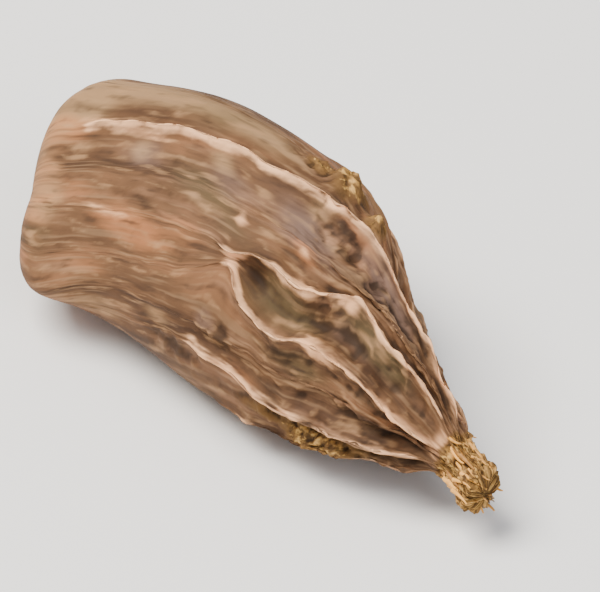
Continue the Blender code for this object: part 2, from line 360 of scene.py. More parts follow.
def skin_place(share, row, across, angle):
    """The skin's place at a share of the length, in a valley, so far across it and at that angle."""
    beside = (row + 1) % len(RIDGES)
    near_one = crest(across, share, ridge_width(row, share))
    near_next = crest(1 - across, share, ridge_width(beside, share))
    out = ridge_height(row, share) * near_one + ridge_height(beside, share) * near_next
    sunk = 1 - prominence(row) * near_one - prominence(beside) * near_next
    out += shrunk(share) * (FOLD_HEIGHT * folds(row, across, share) - VALLEY_DEPTH * sunk)
    out += unevenness(share, angle) + stalk_fibres(share, angle)
    out += husk_only(share, 0.05) * sum(row[4] * near(share, angle, *row[:4]) for row in DENTS_AND_SWELLINGS)
    radius = skin_radius(share, angle) + out * round_off(share, BLUNT_CAP)
    point = axis_point(share).copy()
    point.x += scar(share, angle) - LEAN * (1 - share) ** 1.5 * radius * math.cos(angle - LEAN_ANGLE)
    point.y -= radius * math.cos(angle)
    point.z = max(0.0, point.z + radius * math.sin(angle))
    return point


print("top of the husk in mm:", round(skin_place(0.4, 10, 0.0, math.radians(80)).z / MM, 2))

# %% [markdown]
# ## Where the husk changes
#
# The husk isn't one brown. It is flushed with tan where it swells, greyed with mauve and olive where it has
# sunk, and crusted with gold where it rubbed or split. Such patches belong to places, not to a pattern, so a
# few are listed one by one, each with its reach, and the rest of the pod gets its own by chance.

# %% Patches: share, angle, reach along, reach round, strength
PATCHES = {
    "blush": [
        (0.06, 52, 0.05, 50, 0.6),
        (0.113, 66, 0.04, 7, 0.6),
        (0.29, 30, 0.08, 8, 1.2),
        (0.39, 40, 0.05, 6, 0.5),
        (0.594, 68, 0.030, 4, 0.6),
        (0.64, 97, 0.05, 8, 0.5),
        (0.21, 6, 0.06, 8, 0.4),
        (0.37, -2, 0.04, 6, 0.3),
        (0.56, -4, 0.06, 7, 0.6),
        (0.14, 40, 0.05, 7, 0.4),
    ],
    "mauve": [
        (0.575, 76, 0.07, 9, 1.0),
        (0.70, 98, 0.08, 12, 1.0),
        (0.425, 69, 0.06, 7, 0.6),
        (0.244, 62, 0.07, 9, 0.5),
        (0.725, 55, 0.04, 8, 0.5),
        (0.48, 12, 0.03, 6, 0.6),
    ],
    "olive": [
        (0.38, 61, 0.08, 9, 0.8),
        (0.32, 98, 0.10, 11, 0.6),
        (0.60, 41, 0.08, 10, 1.0),
        (0.77, 62, 0.07, 10, 1.3),
        (0.47, 54, 0.05, 6, 0.5),
        (0.66, 17, 0.06, 7, 0.8),
        (0.08, 12, 0.05, 12, 0.5),
    ],
    "dark": [
        (0.32, 65, 0.05, 4, 0.4),
        (0.444, 104, 0.02, 5, 0.5),
        (0.487, 110, 0.014, 4, 0.6),
        (0.51, 114, 0.020, 5, 0.6),
        (0.580, 120, 0.010, 7, 0.6),
        (0.60, 91, 0.016, 4, 0.6),
        (0.64, 96, 0.012, 3, 0.6),
        (0.73, 98, 0.020, 3, 0.8),
        (0.68, 103, 0.020, 5, 0.4),
        (0.776, 109, 0.030, 5, 1.4),
        (0.85, 107, 0.035, 7, 0.9),
        (0.81, 90, 0.030, 4, 0.7),
        (0.535, 43, 0.022, 4, 0.8),
        (0.281, 43, 0.06, 4, 0.7),
        (0.47, 44, 0.03, 4, 0.5),
        (0.33, 52, 0.08, 3, 0.4),
        (0.519, 9, 0.018, 6, 1.1),
        (0.625, 17, 0.050, 7, 0.8),
        (0.80, 10, 0.045, 7, 0.9),
        (0.815, -2, 0.030, 5, 0.8),
        (0.42, -12, 0.05, 5, 1.0),
        (0.55, -20, 0.08, 4, 0.6),
        (0.86, 6, 0.03, 10, 0.5),
        # painted shade: this row darkens the slot that splits the torn end of the stub
        (0.985, 44, 0.03, 12, 1.0),
    ],
    "worn": [
        (0.20, 71, 0.09, 2.5, 0.6),
        (0.695, 34, 0.026, 6, 1.2),
        (0.63, 56, 0.030, 4, 0.7),
        (0.705, 66, 0.020, 5, 0.9),
        (0.76, 38, 0.045, 4, 0.75),
        (0.84, 34, 0.045, 5, 0.8),
        (0.82, 74, 0.040, 4, 0.5),
        (0.84, 113, 0.040, 5, 0.5),
        (0.905, 40, 0.018, 40, 0.5),
        (0.24, 33, 0.060, 3, 0.55),
        (0.594, 68, 0.015, 3, 0.7),
        (0.475, 60, 0.014, 4, 0.7),
    ],
    "dusty": [
        (0.05, 70, 0.06, 50, 0.7),
        (0.08, 84, 0.06, 14, 0.9),
        (0.08, 33, 0.04, 12, 0.6),
        (0.20, 98, 0.17, 13, 1.0),
        (0.40, 102, 0.08, 9, 0.7),
        (0.62, 82, 0.06, 7, 0.5),
        (0.244, 63, 0.022, 6, 0.8),
        (0.394, 74, 0.030, 4, 0.9),
        (0.09, 76, 0.05, 8, 0.8),
        (0.565, 88, 0.025, 5, 0.6),
        (0.37, -2, 0.04, 5, 0.6),
        (0.613, 113, 0.016, 5, 0.7),
    ],
    "pitted": [
        (0.60, 88, 0.045, 11, 1.0),
        (0.72, 90, 0.10, 15, 1.0),
        (0.66, 62, 0.05, 8, 0.7),
        (0.50, 110, 0.06, 9, 0.9),
        (0.50, 8, 0.05, 8, 0.7),
        (0.42, -14, 0.08, 8, 0.8),
        (0.70, -20, 0.12, 10, 0.8),
        (0.72, 50, 0.10, 12, 0.3),
        (0.70, 18, 0.10, 12, 0.4),
        (0.70, -150, 0.14, 30, 0.8),
        (0.72, 175, 0.12, 20, 0.7),
    ],
    "crust": [
        (0.488, 112, 0.024, 7, 1.0),
        (0.545, 117, 0.032, 13, 1.2),
        (0.615, 118, 0.020, 10, 1.2),
        (0.62, -22, 0.10, 4, 0.6),
        (0.70, -26, 0.05, 5, 0.9),
        (0.75, -24, 0.06, 6, 0.7),
        (0.62, -150, 0.08, 6, 0.8),
        (0.80, -128, 0.06, 8, 0.9),
        (0.72, 172, 0.07, 6, 0.8),
    ],
}


BY_CHANCE = ["blush", "mauve", "olive", "dusty"]
CHANCE_STRENGTH = 0.6
# The side where the patches are listed one by one: its middle share and angle, and its reach along and round
# the pod
HAND_LAID_SIDE = (0.5, 50, 9.0, 75)


def patch(kind, share, angle):
    """How strongly a kind of patch shows at a place of the husk."""
    by_hand = sum(row[4] * near(share, angle, *row[:4]) for row in PATCHES[kind])
    if kind not in BY_CHANCE:
        return min(1.0, by_hand)
    key = Vector((share * 6, 1.6 * math.cos(angle), 1.6 * math.sin(angle) + 4.4 * BY_CHANCE.index(kind)))
    elsewhere = 1 - near(share, angle, *HAND_LAID_SIDE)
    by_chance = CHANCE_STRENGTH * smooth_step(0.1, 0.6, noise.noise(key)) * elsewhere
    return min(1.0, by_hand + by_chance)


print("patches:", {kind: len(rows) for kind, rows in PATCHES.items()})

# %% [markdown]
# ## Weaving the fine husk
#
# The husk is woven from rings round the pod and columns along it. The columns crowd against the ridges and
# follow their courses, so an edge of the mesh runs along every crest. With each point go the things that the
# finish needs: how near it is to a crest, how far the skin has shrunk there, its patches, and its grain. The
# grain is where the point would lie if the pod were a plain cylinder, so a pattern that is drawn out along
# it follows the fibres. 390 columns by 250 rings keep the piece under 200,000 triangles.

# %% Rings and columns
COLUMNS_PER_VALLEY = 26
RINGS = 250
BLUNT_RINGS = 46
STALK_RINGS = 10
CREST_CROWDING = 0.55
STALK_CROWDING = 0.25
WORN_WIDTH = 0.25 * MM  # of the pale line along a crest, to each side
LEAST_WIDTH = 0.01 * MM  # keeps that line's width above 0 where the ridges meet at the ends


def ring_share(ring):
    """The share of the length where a ring lies: rings follow both roundings and crowd towards the stalk."""
    if ring <= BLUNT_RINGS:
        return BLUNT_CAP * (1 - math.cos(math.pi / 2 * ring / BLUNT_RINGS))
    if ring >= RINGS - STALK_RINGS:
        return 1 - STALK_CAP * (1 - math.cos(math.pi / 2 * (RINGS - ring) / STALK_RINGS))
    t = (ring - BLUNT_RINGS) / (RINGS - STALK_RINGS - BLUNT_RINGS)
    t += STALK_CROWDING * t * (1 - t)
    return BLUNT_CAP + (1 - STALK_CAP - BLUNT_CAP) * t


def read_skin(share, column):
    """One point of the fine husk, and all that its finish needs to know there."""
    row, step = divmod(column, COLUMNS_PER_VALLEY)
    across = step / COLUMNS_PER_VALLEY
    across -= CREST_CROWDING * math.sin(2 * math.pi * across) / (2 * math.pi)
    first, second = ridge_angle(row, share), ridge_angle(row + 1, share)
    angle = first + (second - first) * across
    point = skin_place(share, row, across, angle)
    nearest = (row if across < 0.5 else row + 1) % len(RIDGES)
    height = ridge_height(nearest, share) / RIDGE_HEIGHT
    radius = skin_radius(share, angle)
    aside = min(across, 1 - across) * (second - first) * radius
    worn_width = ridge_width(nearest, share) * WORN_WIDTH * math.sqrt(radius / POD_RADIUS)
    edge = aside / (worn_width + LEAST_WIDTH)
    turn = 2 * math.pi * column / (COLUMNS_PER_VALLEY * len(RIDGES))
    grain = POD_RADIUS * math.cos(turn), POD_RADIUS * math.sin(turn), share * POD_LENGTH
    stub = 1 - husk_only(share - 0.01, 0.02)
    marks = {
        "crest": RIDGES[nearest][3] * math.exp(-(edge**1.5)) * smooth_step(0.10, 0.55, height),
        "puckered": shrunk(share),
        "wrinkled": (0.5 + 0.5 * smooth_step(0.3, 0.7, share)) * round_off(share, BLUNT_CAP) ** 2,
        "stub": stub,
    }
    marks.update((kind, patch(kind, share, angle)) for kind in PATCHES)
    marks["crust"] = max(marks["crust"], stub)
    return point, grain, marks


# %% [markdown]
# The rings are joined by four-sided faces, and each end is closed by a fan round one point.

# %% The mesh of the fine husk


def weave_husk():
    """The husk as a closed mesh, with its marks stored on its points."""
    columns = COLUMNS_PER_VALLEY * len(RIDGES)
    read = [read_skin(0.0, 0)]
    read += [read_skin(ring_share(ring), column) for ring in range(1, RINGS) for column in range(columns)]
    read.append(read_skin(1.0, 0))
    faces = []
    for column in range(columns):
        beside = (column + 1) % columns
        faces.append((0, 1 + column, 1 + beside))
        for ring in range(RINGS - 2):
            low = 1 + ring * columns
            high = low + columns
            faces.append((low + column, high + column, high + beside, low + beside))
        last = 1 + (RINGS - 2) * columns
        faces.append((last + beside, last + column, len(read) - 1))
    mesh = bpy.data.meshes.new("husk_skin")
    mesh.from_pydata([tuple(place) for place, _, _ in read], [], faces)
    grain = mesh.attributes.new("grain", "FLOAT_VECTOR", "POINT")
    grain.data.foreach_set("vector", np.array([g for _, g, _ in read], np.float32).ravel())
    for name in read[0][2]:
        mark = mesh.attributes.new(name, "FLOAT", "POINT")
        mark.data.foreach_set("value", np.array([marks[name] for _, _, marks in read], np.float32))
    mesh.validate()
    return mesh


husk_skin = weave_husk()
husk_skin.calc_loop_triangles()
print("woven husk:", len(husk_skin.vertices), "points,", len(husk_skin.loop_triangles), "triangles")

# %% [markdown]
# ## A helper for nodes
#
# Every finish and every pattern below is a net of nodes. One small function adds a node: its settings are
# set by name, and each of its sockets gets a value or a link from another node. Colours are written as the
# hex values of a screen, and turned to the linear values that light is reckoned in.

# %% Add a node, and read a colour


def add_node(tree, kind, sockets=None, **settings):
    """Adds a node with its settings. A socket takes a value, an output, or a node for its first output."""
    made = tree.nodes.new(kind)
    for name, value in settings.items():
        setattr(made, name, value)
    for socket, value in (sockets or {}).items():
        if isinstance(value, bpy.types.Node):
            value = next(o for o in value.outputs if o.enabled)
        if isinstance(value, bpy.types.NodeSocket):
            tree.links.new(value, made.inputs[socket])
        else:
            made.inputs[socket].default_value = value
    return made


def linear(hex_colour):
    """A screen colour such as #8f6f55 as the linear red, green, blue and opacity of a shader."""
    parts = [int(hex_colour[k : k + 2], 16) / 255 for k in (1, 3, 5)]
    parts = [c / 12.92 if c <= 0.04045 else ((c + 0.055) / 1.055) ** 2.4 for c in parts]
    return (*parts, 1.0)


print("husk brown in linear values:", [round(c, 3) for c in linear("#8f6f55")])

# %% [markdown]
# ## The finish of the husk
#
# The real husk is a dried fruit wall: matte, fibrous and a little leathery, with no polish. Light sinks into
# it, so it is rough all over. Its brown is built up in coats, as a painter would: mottled brown first, then
# the streaks of its fibres, the patches, the pale worn crests and the gold of the crust, with painted shade
# in the valleys, the creases and the hollows of the crust, and painted light and shade on the pits. It could
# be one picture wrapped round the pod, but coats that read the marks on the mesh stay sharp at any size and
# fit the ridges by themselves.

# %% Brown skin and its marks
husk_finish = bpy.data.materials.new("dried_fibrous_husk")
husk_finish.use_nodes = True
husk_nodes = husk_finish.node_tree
STORED_PATTERNS = ["mottling", "streaks", "flecks", "blotches", "grit"]
STORED = [*STORED_PATTERNS, "crest", "stands_out", "stands_far_out", *PATCHES]
marks = {
    name: add_node(husk_nodes, "ShaderNodeAttribute", attribute_name=name).outputs["Fac"] for name in STORED
}
brown = add_node(husk_nodes, "ShaderNodeValToRGB", {"Fac": marks["mottling"]})
brown.color_ramp.elements[0].position = 0.36
brown.color_ramp.elements[0].color = linear("#472f1d")
brown.color_ramp.elements[1].position = 0.66
brown.color_ramp.elements[1].color = linear("#865b3c")
middle = brown.color_ramp.elements.new(0.5)
middle.color = linear("#66472e")
print("marks that the finish reads:", len(marks))

# %% [markdown]
# These marks are stored on the mesh, further below. Two patterns are finer than its faces, so they are noises
# of the material: the threads of the skin and the crumbs of the crust. The real threads are 0.1 mm across,
# too fine to show, so they are drawn at 0.3 mm.

# %% Threads and crumbs: size across, size along, detail
FINE_PATTERNS = {"threads": (0.30 * MM, 4.0 * MM, 1.0), "crumbs": (0.28 * MM, 0.32 * MM, 2.0)}
grain = add_node(husk_nodes, "ShaderNodeAttribute", attribute_name="grain").outputs["Vector"]
for name, (width, length, detail) in FINE_PATTERNS.items():
    size = 1 / width, 1 / width, 1 / length
    place = add_node(husk_nodes, "ShaderNodeVectorMath", {0: grain, 1: size}, operation="MULTIPLY")
    pattern = {"Vector": place, "Scale": 1.0, "Detail": detail}
    marks[name] = add_node(husk_nodes, "ShaderNodeTexNoise", pattern).outputs["Fac"]
print("fine patterns:", list(FINE_PATTERNS))

# %% [markdown]
# Each coat is one row: its colour, the mark that it follows, the pattern that breaks up its edge and how
# strongly, the value where it begins, the value where it is full, and its strength. First comes painted
# shade in the broad valleys, where the skin sinks below the skin blurred wide. Then come the streaks of the
# fibres and the patches. What stands out over the skin near it is paler, with flecks and threads over it.
# Then the skin is pitted, with pale and dark specks that paint light and shade into its pits. It is darkened
# in patches, one of them painted shade in the slot of the stub. Rubbing has worn the crests to a pale pinkish
# tan, and the crust is dry gold, with painted shade in the hollows of its crumbs. Last, painted shade darkens
# the creases.

# %% Coats of colour
COATS = [
    # painted shade: darkens the broad valleys, where the skin sinks below the skin blurred wide
    ("#362417", "stands_far_out", None, 0.0, -0.20, -0.90, 0.55),
    ("#946c4f", "streaks", None, 0.0, 0.52, 0.70, 0.60),
    ("#3b2818", "streaks", None, 0.0, 0.48, 0.30, 0.60),
    ("#a5825b", "dusty", "streaks", 2.0, 0.10, 0.95, 0.80),
    ("#52472d", "olive", "blotches", 1.2, 0.10, 0.95, 0.60),
    ("#776056", "mauve", "blotches", 1.2, 0.10, 0.95, 0.65),
    ("#b77548", "blush", "streaks", 2.0, 0.10, 0.95, 0.60),
    ("#a87f57", "stands_out", None, 0.0, 0.010, 0.080, 0.45),
    ("#ae855d", "flecks", None, 0.0, 0.52, 0.70, 0.55),
    ("#332317", "flecks", None, 0.0, 0.47, 0.30, 0.65),
    ("#a5815e", "threads", None, 0.0, 0.55, 0.75, 0.30),
    ("#312014", "threads", None, 0.0, 0.45, 0.25, 0.35),
    # painted light and shade of pits: pale and dark specks where the skin is pitted
    ("#a97d5e", "pitted", "grit", 3.0, 0.85, 1.60, 0.55),
    ("#27170b", "pitted", "grit", -3.0, 0.80, 1.50, 0.88),
    # darker in the listed patches; at the slot of the stub this is painted shade
    ("#281606", "dark", "grit", 1.2, 0.12, 0.95, 0.85),
    ("#fbc190", "crest", "flecks", 1.9, 0.20, 0.92, 0.93),
    ("#f4b684", "worn", "flecks", 2.0, 0.15, 0.95, 0.80),
    ("#6c4d28", "crust", "blotches", 1.2, 0.25, 0.70, 0.90),
    ("#c8974f", "crust", "grit", 3.0, 0.85, 1.50, 0.75),
    ("#dcac60", "crust", "crumbs", 3.0, 0.95, 1.50, 0.75),
    # painted shade: dark holes where the crumbs of the crust sink in their bump
    ("#38260f", "crust", "crumbs", -3.0, 0.95, 1.50, 0.75),
    # painted shade: darkens the creases, where the skin sinks below the skin blurred near it
    ("#26170a", "stands_out", None, 0.0, -0.012, -0.110, 0.75),
]
skin_colour = brown.outputs["Color"]
for colour, mark, pattern, pull, begins, full, strength in COATS:
    shown = marks[mark]
    if pattern:
        torn = add_node(husk_nodes, "ShaderNodeMath", {0: marks[pattern], 1: 0.5}, operation="SUBTRACT")
        edge = {0: torn, 1: pull, 2: marks[mark]}
        shown = add_node(husk_nodes, "ShaderNodeMath", edge, operation="MULTIPLY_ADD")
    span = {"Value": shown, "From Min": begins, "From Max": full, "To Max": strength}
    cover = add_node(husk_nodes, "ShaderNodeMapRange", span, interpolation_type="SMOOTHSTEP")
    if pattern:
        reach = {"Value": marks[mark], "From Min": 0.02, "From Max": 0.35}
        inside = add_node(husk_nodes, "ShaderNodeMapRange", reach, interpolation_type="SMOOTHSTEP")
        cover = add_node(husk_nodes, "ShaderNodeMath", {0: cover, 1: inside}, operation="MULTIPLY")
    coat = {0: cover, 6: skin_colour, 7: linear(colour)}
    skin_colour = add_node(husk_nodes, "ShaderNodeMix", coat, data_type="RGBA").outputs[2]
print("coats on the skin:", len(COATS))

# %% [markdown]
# The shader takes the colour. A dried plant wall has an index of refraction near 1.45 and no metal, and its
# roughness wavers about 0.75. Loose fibres break up its sheen, so about half of the usual sheen is left.
# What is too fine for the mesh, the threads, the grit and the crumbs of the crust, is left to the bump.

# %% Roughness and fine bump of the husk
husk_shader = husk_nodes.nodes["Principled BSDF"]
husk_shader.inputs["IOR"].default_value = 1.45
husk_shader.inputs["Metallic"].default_value = 0.0
husk_shader.inputs["Specular IOR Level"].default_value = 0.28
rough_range = {"Value": marks["blotches"], "To Min": 0.62, "To Max": 0.90}
roughness = add_node(husk_nodes, "ShaderNodeMapRange", rough_range)
fine_relief = {0: marks["grit"], 1: 0.6, 2: marks["threads"]}
relief = add_node(husk_nodes, "ShaderNodeMath", fine_relief, operation="MULTIPLY_ADD")
crumbly = add_node(husk_nodes, "ShaderNodeMath", {0: marks["crust"], 1: 3.0}, operation="MULTIPLY")
fine_relief = {0: marks["crumbs"], 1: crumbly, 2: relief}
relief = add_node(husk_nodes, "ShaderNodeMath", fine_relief, operation="MULTIPLY_ADD")
bump = add_node(husk_nodes, "ShaderNodeBump", {"Strength": 0.5, "Distance": 0.09 * MM, "Height": relief})
husk_nodes.links.new(skin_colour, husk_shader.inputs["Base Color"])
husk_nodes.links.new(roughness.outputs["Result"], husk_shader.inputs["Roughness"])
husk_nodes.links.new(bump.outputs["Normal"], husk_shader.inputs["Normal"])
print("husk finish:", len(husk_nodes.nodes), "nodes")

# %% [markdown]
# ## Wrinkles, beads, puckers and grit
#
# The woven husk has its ridges, but its skin is still smooth. On the real pod it is wrinkled along the
# fibres, beaded along the crests, puckered and pitted near the stalk, and gritty where it is crusted.
# They follow the surface by a rule, so Geometry Nodes raise them: each is a noise along the grain, as tall
# as its own height and as strong as the mark that it goes with.

# %% The kinds of relief: mark, size across, size along, height
RELIEFS = {
    "Wrinkle": ("wrinkled", 1.0 * MM, 6.0 * MM, 0.26 * MM, "RIDGED_MULTIFRACTAL"),
    "Fine wrinkle": ("wrinkled", 0.45 * MM, 2.2 * MM, 0.14 * MM, "FBM"),
    "Bead": ("crest", 0.6 * MM, 0.7 * MM, 0.40 * MM, "FBM"),
    "Pucker": ("puckered", 0.8 * MM, 1.1 * MM, 0.90 * MM, "FBM"),
    "Pit": ("pitted", 0.7 * MM, 0.8 * MM, 1.30 * MM, "FBM"),
    "Grit": ("crust", 0.55 * MM, 0.6 * MM, 1.50 * MM, "FBM"),
}
skin_tree = bpy.data.node_groups.new("wrinkled_skin", "GeometryNodeTree")
skin_tree.interface.new_socket("Geometry", in_out="OUTPUT", socket_type="NodeSocketGeometry")
skin_tree.interface.new_socket("Geometry", in_out="INPUT", socket_type="NodeSocketGeometry")
skin_sizes = {"Seed": 4.0}
for kind, (_, size_across, size_along, height, _) in RELIEFS.items():
    skin_sizes.update({f"{kind} across": size_across, f"{kind} along": size_along, f"{kind} height": height})


def name_inputs(tree, sizes):
    """Gives a tree a named input for each size, and returns its input node and the inputs' identifiers."""
    sockets = {
        name: tree.interface.new_socket(name, in_out="INPUT", socket_type="NodeSocketFloat")
        for name in sizes
    }
    return tree.nodes.new("NodeGroupInput"), {name: s.identifier for name, s in sockets.items()}


skin_input, skin_ids = name_inputs(skin_tree, skin_sizes)
print("sizes of the wrinkled skin:", len(skin_sizes))

# %% [markdown]
# Each relief is added to the ones before it, and their sum moves the skin along its normal. What rests on
# the table stays flat: nothing goes below height 0.

# %% Raise the skin
skin_grain = add_node(
    skin_tree, "GeometryNodeInputNamedAttribute", {"Name": "grain"}, data_type="FLOAT_VECTOR"
)
raised = None
for number, (kind, (mark_name, _, _, _, noise_type)) in enumerate(RELIEFS.items()):
    width, length, height = (skin_input.outputs[f"{kind} {size}"] for size in ("across", "along", "height"))
    size = add_node(skin_tree, "ShaderNodeCombineXYZ", {"X": width, "Y": width, "Z": length})
    place = add_node(skin_tree, "ShaderNodeVectorMath", {0: skin_grain, 1: size}, operation="DIVIDE")
    seed = add_node(skin_tree, "ShaderNodeMath", {0: skin_input.outputs["Seed"], 1: 7.3 * number})
    pattern = {"Vector": place, "W": seed, "Scale": 1.0, "Detail": 2.0, "Roughness": 0.5, "Distortion": 0.1}
    swell = add_node(
        skin_tree, "ShaderNodeTexNoise", pattern, noise_dimensions="4D", noise_type=noise_type, normalize=True
    )
    centred = add_node(skin_tree, "ShaderNodeMath", {0: swell, 1: 0.5}, operation="SUBTRACT")
    strength = add_node(skin_tree, "GeometryNodeInputNamedAttribute", {"Name": mark_name}, data_type="FLOAT")
    marked = add_node(skin_tree, "ShaderNodeMath", {0: centred, 1: strength}, operation="MULTIPLY")
    raised = add_node(
        skin_tree,
        "ShaderNodeMath",
        {0: marked, 1: height, 2: raised if raised else 0.0},
        operation="MULTIPLY_ADD",
    )
outwards = add_node(skin_tree, "GeometryNodeInputNormal")
offset = add_node(skin_tree, "ShaderNodeVectorMath", {0: outwards, "Scale": raised}, operation="SCALE")
old_place = add_node(skin_tree, "GeometryNodeInputPosition")
new_place = add_node(skin_tree, "ShaderNodeVectorMath", {0: old_place, 1: offset}, operation="ADD")
above_table = add_node(
    skin_tree, "ShaderNodeVectorMath", {0: new_place, 1: (-1.0, -1.0, 0.0)}, operation="MAXIMUM"
)
moved = {"Geometry": skin_input.outputs["Geometry"], "Position": above_table}
skin = add_node(skin_tree, "GeometryNodeSetPosition", moved)
print("reliefs raised:", len(RELIEFS))

# %% [markdown]
# The colour patterns are noises along the same grain. Kept on the mesh, they are worked out once, and not
# again for each ray of light.

# %% Patterns: size across, size along, detail
PATTERNS = {
    "mottling": (3.2 * MM, 8.0 * MM, 4.0),
    "streaks": (0.75 * MM, 7.0 * MM, 4.0),
    "flecks": (0.42 * MM, 1.9 * MM, 3.0),
    "blotches": (1.6 * MM, 2.4 * MM, 4.0),
    "grit": (0.5 * MM, 0.7 * MM, 2.0),
}
for number, (name, (width, length, detail)) in enumerate(PATTERNS.items()):
    size = 1 / width, 1 / width, 1 / length
    place = add_node(skin_tree, "ShaderNodeVectorMath", {0: skin_grain, 1: size}, operation="MULTIPLY")
    seed = add_node(skin_tree, "ShaderNodeMath", {0: skin_input.outputs["Seed"], 1: 50 + 5.1 * number})
    pattern = {"Vector": place, "W": seed, "Scale": 1.0}
    pattern |= {"Detail": detail, "Roughness": 0.6, "Distortion": 0.1}
    noisy = add_node(skin_tree, "ShaderNodeTexNoise", pattern, noise_dimensions="4D")
    skin = add_node(
        skin_tree,
        "GeometryNodeStoreNamedAttribute",
        {"Geometry": skin, "Name": name, "Value": noisy},
        data_type="FLOAT",
        domain="POINT",
    )
print("patterns on the mesh:", list(PATTERNS))

# %% [markdown]
# How far a point stands out is its height over the same skin blurred: over a few edges for the wrinkles, and
# over many for the ridges and valleys. It is stored in millimetres for the finish to read. The tree ends in
# Realize Instances and Set Material, as a tree whose result is exported should.

# %% Measure what stands out, and finish the tree
for name, rounds in (("stands_out", 6), ("stands_far_out", 90)):
    here = add_node(skin_tree, "GeometryNodeInputPosition")
    blurred = add_node(
        skin_tree, "GeometryNodeBlurAttribute", {0: here, "Iterations": rounds}, data_type="FLOAT_VECTOR"
    )
    gap = add_node(skin_tree, "ShaderNodeVectorMath", {0: here, 1: blurred}, operation="SUBTRACT")
    normal = add_node(skin_tree, "GeometryNodeInputNormal")
    lift = add_node(skin_tree, "ShaderNodeVectorMath", {0: gap, 1: normal}, operation="DOT_PRODUCT")
    in_mm = add_node(skin_tree, "ShaderNodeMath", {0: lift.outputs["Value"], 1: 1 / MM}, operation="MULTIPLY")
    skin = add_node(
        skin_tree,
        "GeometryNodeStoreNamedAttribute",
        {"Geometry": skin, "Name": name, "Value": in_mm},
        data_type="FLOAT",
        domain="POINT",
    )
skin = add_node(skin_tree, "GeometryNodeSetShadeSmooth", {"Geometry": skin})
skin = add_node(skin_tree, "GeometryNodeRealizeInstances", {"Geometry": skin})
skin = add_node(skin_tree, "GeometryNodeSetMaterial", {"Geometry": skin, "Material": husk_finish})
add_node(skin_tree, "NodeGroupOutput", {"Geometry": skin})
print("wrinkled skin tree:", len(skin_tree.nodes), "nodes")

# %% [markdown]
# The modifier's inputs are set by their identifiers before it is first evaluated.

# %% The finished husk


def grow(name, mesh, tree, sizes, ids):
    """Runs a tree on a mesh with these sizes, and returns an object with the result as its plain mesh."""
    source = bpy.data.objects.new(f"{name}_source", mesh)
    bpy.context.scene.collection.objects.link(source)
    modifier = source.modifiers.new("grow", "NODES")
    modifier.node_group = tree
    for size_name, value in sizes.items():
        modifier[ids[size_name]] = value
    graph = bpy.context.evaluated_depsgraph_get()
    finished = bpy.data.meshes.new_from_object(source.evaluated_get(graph), depsgraph=graph)
    bpy.data.objects.remove(source)
    finished.name = name
    made = bpy.data.objects.new(name, finished)
    bpy.context.scene.collection.objects.link(made)
    finished.calc_loop_triangles()
    print(f"{name}:", len(finished.loop_triangles), "triangles")
    return made


husk = grow("husk", husk_skin, skin_tree, skin_sizes, skin_ids)
heights = {name: np.empty(len(husk.data.vertices), np.float32) for name in ("crest", "stands_out")}
for name, values in heights.items():
    husk.data.attributes[name].data.foreach_get("value", values)
crest_height = heights["stands_out"][heights["crest"] > 0.5].mean()
print(f"crests stand out by {crest_height:.3f} mm on average")

# %% [markdown]
# ## Torn fibres at the stalk
#
# Where the pod was torn off its plant, the stub ends in a few dozen stiff golden fibres. They could be drawn
# one by one, but they repeat, so Geometry Nodes plant them: points are scattered on the stub, and on each
# stands one thin tapered fibre that leans along the stalk, turned and sized by chance with a fixed seed.

# %% The finish of the torn fibres
fibre_finish = bpy.data.materials.new("torn_stalk_fibre")
fibre_finish.use_nodes = True
fibre_nodes = fibre_finish.node_tree
tint = add_node(fibre_nodes, "ShaderNodeAttribute", attribute_name="tint").outputs["Fac"]
fibre_place = add_node(fibre_nodes, "ShaderNodeTexCoord").outputs["Object"]
fibre_marks = add_node(
    fibre_nodes, "ShaderNodeTexNoise", {"Vector": fibre_place, "Scale": 1 / (0.3 * MM), "Detail": 1.0}
)
shade = add_node(fibre_nodes, "ShaderNodeMath", {0: fibre_marks, 1: 0.6, 2: tint}, operation="MULTIPLY_ADD")
straw = add_node(fibre_nodes, "ShaderNodeValToRGB", {"Fac": shade})
straw.color_ramp.elements[0].position = 0.25
straw.color_ramp.elements[0].color = linear("#8a5c26")
straw.color_ramp.elements[1].position = 1.1 / 1.2
straw.color_ramp.elements[1].color = linear("#f2b052")
fibre_shader = fibre_nodes.nodes["Principled BSDF"]
fibre_shader.inputs["IOR"].default_value = 1.5
fibre_shader.inputs["Metallic"].default_value = 0.0
fibre_shader.inputs["Roughness"].default_value = 0.6
fibre_nodes.links.new(straw.outputs["Color"], fibre_shader.inputs["Base Color"])
print("torn fibre finish:", len(fibre_nodes.nodes), "nodes")

# %% [markdown]
# One fibre is a short curve with a six-sided section, thick at its root and thin at its tip, bent a little.

# %% One torn fibre
fibre_tree = bpy.data.node_groups.new("torn_fibres", "GeometryNodeTree")
fibre_tree.interface.new_socket("Geometry", in_out="OUTPUT", socket_type="NodeSocketGeometry")
fibre_tree.interface.new_socket("Geometry", in_out="INPUT", socket_type="NodeSocketGeometry")
fibre_sizes = {
    "Fibre length": 1.5 * MM,
    "Fibre radius": 0.17 * MM,
    "Fibre bend": 0.30 * MM,
    "Fibre spacing": 0.66 * MM,
    "Splay": 0.26,
    "Seed": 5.0,
}
fibre_input, fibre_ids = name_inputs(fibre_tree, fibre_sizes)
ends = []
for part_of_it in (-0.70, 0.0, 0.30):
    share_of_length = {0: fibre_input.outputs["Fibre length"], 1: part_of_it}
    reach = add_node(fibre_tree, "ShaderNodeMath", share_of_length, operation="MULTIPLY")
    bend = fibre_input.outputs["Fibre bend"] if part_of_it == 0.0 else 0.0
    ends.append(add_node(fibre_tree, "ShaderNodeCombineXYZ", {"X": bend, "Z": reach}))
